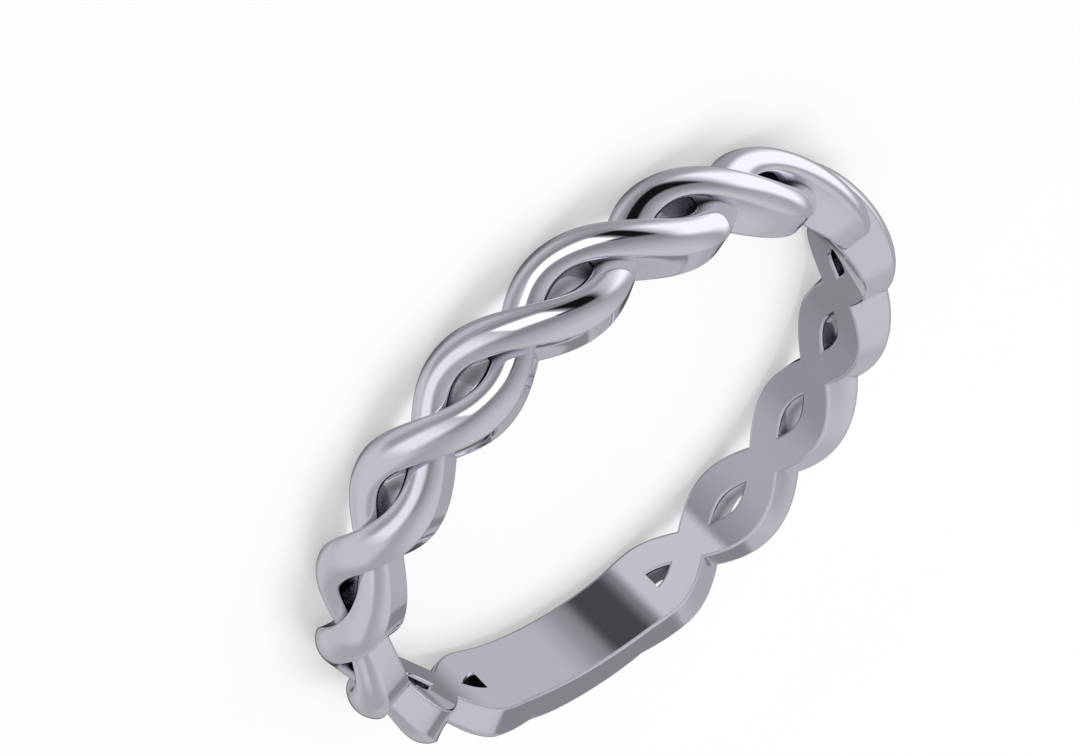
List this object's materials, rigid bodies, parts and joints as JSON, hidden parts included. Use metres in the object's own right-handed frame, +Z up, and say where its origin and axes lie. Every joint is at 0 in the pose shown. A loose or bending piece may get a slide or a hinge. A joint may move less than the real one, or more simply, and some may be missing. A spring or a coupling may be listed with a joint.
{
  "type": "rope ring",
  "caption": "Slim polished finger ring whose front and sides are two round-topped strands crossing over and under in an open rope, run into a plain low-domed shank.",
  "frame": {"origin": "on the ring's axis, at the level it rests on: the ring lies on its side", "axes": "+Z up, along the ring's axis; the middle of the rope faces -Y and the plain shank +Y"},
  "size_m": [0.0202, 0.0201, 0.0029],
  "materials": {
    "white_gold": "high polish, bright cool white"
  },
  "bodies": {
    "root": {"band": "white_gold"}
  },
  "joints": []
}
